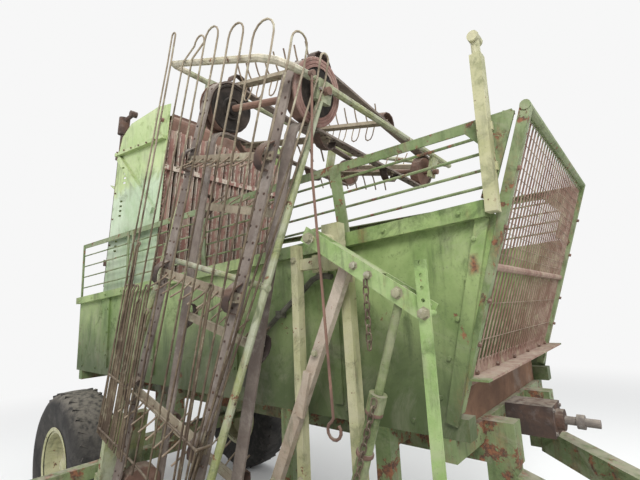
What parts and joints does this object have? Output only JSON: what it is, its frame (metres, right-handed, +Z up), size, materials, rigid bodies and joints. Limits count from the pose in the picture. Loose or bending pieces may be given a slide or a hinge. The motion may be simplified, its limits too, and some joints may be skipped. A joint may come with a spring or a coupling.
{
  "type": "sugar beet harvester",
  "caption": "Trailed one-row beet harvester: wheeled chassis with drawbar, sheet-walled bunker with open rails, leaning finger elevator, lifting digging unit and rear unloading elevator.",
  "frame": {"origin": "middle of the footprint, on the ground", "axes": "+X towards the hitch, +Y towards the left side of the machine, +Z up"},
  "size_m": [6.215, 2.2456, 3.451],
  "materials": {
    "green": "weathered satin",
    "pale": "weathered satin",
    "rust": "rusted",
    "steel": "dull, browned",
    "tyre": "matt",
    "belt": "matt",
    "beige": "faded",
    "black": "matt"
  },
  "bodies": {
    "frame": {"brace": "beige", "bunker_floor": "steel", "chassis_frame": "green", "cylinder_bracket": "steel", "drawbar": "green", "elevator_frame": "pale", "finger_cage": "steel", "finger_web": "belt", "front_grille": "rust", "jack_tube": "steel", "lane_posts": "pale", "mast": "pale", "pto_gearbox": "steel", "pull_rod": "rust", "rails_far": "green", "rails_near": "green", "unloader_band": "steel", "unloader_plate_far": "green", "unloader_plate_near": "green", "unloader_rear_sheet": "green", "unloader_ribs": "rust", "unloader_side_tube": "steel", "wall_far": "green", "wall_hose": "black", "wall_near": "green", "wall_rear": "green"},
    "wheel_near": {"tyre_near": "tyre", "rim_near": "pale"},
    "wheel_far": {"tyre_far": "tyre", "rim_far": "pale"},
    "jack": {"jack_leg": "steel"},
    "unloader_shaft": {"unloader_head_shaft": "rust"},
    "elevator_head": {"elevator_head_rotor": "rust"},
    "elevator_tail": {"elevator_tail_roller": "rust"},
    "elevator_foot": {"elevator_foot_rotor": "rust"},
    "digging_unit": {"digger_frame": "green", "share_near": "steel", "share_far": "steel", "sieve_web": "steel"},
    "depth_wheel_body": {"depth_wheel": "black"},
    "lift_arm_body": {"lift_arm": "green"},
    "link_bar": {"lift_link": "green"},
    "cylinder": {"cylinder_barrel": "green"},
    "piston": {"cylinder_rod": "steel"},
    "input_shaft": {"pto_stub": "steel"}
  },
  "joints": [
    {"name": "wheel_near_spin", "type": "hinge", "parent": "frame", "child": "wheel_near", "pos_m": [-2.0075, -0.58775, 0.5], "axis": [0, 1, 0], "continuous": true},
    {"name": "wheel_far_spin", "type": "hinge", "parent": "frame", "child": "wheel_far", "pos_m": [-2.0075, 0.96225, 0.5], "axis": [0, 1, 0], "continuous": true},
    {"name": "jack_slide", "type": "slide", "parent": "frame", "child": "jack", "axis": [0, 0, 1], "range_m": [0, 0.22]},
    {"name": "unloader_head_spin", "type": "hinge", "parent": "frame", "child": "unloader_shaft", "pos_m": [-1.57486, 0.40725, 3.09597], "axis": [0, 1, 0], "continuous": true},
    {"name": "elevator_head_spin", "type": "hinge", "parent": "frame", "child": "elevator_head", "pos_m": [-0.12586, -0.39275, 2.59606], "axis": [0.9659, 0, -0.2588], "continuous": true},
    {"name": "elevator_tail_spin", "type": "hinge", "parent": "frame", "child": "elevator_tail", "pos_m": [-0.14916, 0.80225, 2.50913], "axis": [0.9659, 0, -0.2588], "continuous": true},
    {"name": "elevator_foot_spin", "type": "hinge", "parent": "frame", "child": "elevator_foot", "pos_m": [-0.6875, -0.59775, 0.5], "axis": [0.9659, 0, -0.2588], "continuous": true},
    {"name": "digging_unit_lift", "type": "hinge", "parent": "frame", "child": "digging_unit", "pos_m": [-0.2875, -0.69775, 0.56], "axis": [0, 1, 0], "range_deg": [0, 7]},
    {"name": "depth_wheel_spin", "type": "hinge", "parent": "digging_unit", "child": "depth_wheel_body", "pos_m": [0.8125, -1.06775, 0.25], "axis": [0, 1, 0], "continuous": true},
    {"name": "lift_arm_swing", "type": "hinge", "parent": "frame", "child": "lift_arm_body", "pos_m": [0.2825, -0.48775, 1.78], "axis": [0, 1, 0], "range_deg": [0, 18.2]},
    {"name": "link_bar_swing", "type": "hinge", "parent": "lift_arm_body", "child": "link_bar", "pos_m": [0.7525, -0.48775, 1.47], "axis": [0, 1, 0], "range_deg": [-26.4, 0]},
    {"name": "cylinder_swing", "type": "hinge", "parent": "frame", "child": "cylinder", "pos_m": [0.3925, -0.48775, 0.8], "axis": [0, 1, 0], "range_deg": [-4.3, 0]},
    {"name": "piston_slide", "type": "slide", "parent": "cylinder", "child": "piston", "axis": [0.3315, 0, 0.9435], "range_m": [-0.1285, 0]},
    {"name": "input_shaft_spin", "type": "hinge", "parent": "frame", "child": "input_shaft", "pos_m": [0.9225, 0.40225, 0.965], "axis": [1, 0, 0], "continuous": true}
  ],
  "couplings": [
    {"joint": "lift_arm_swing", "follows": "digging_unit_lift", "ratio": 2.5954},
    {"joint": "link_bar_swing", "follows": "digging_unit_lift", "ratio": -3.7512},
    {"joint": "cylinder_swing", "follows": "digging_unit_lift", "ratio": -0.6056},
    {"joint": "piston_slide", "follows": "digging_unit_lift", "m_per_rad": -1.049}
  ]
}
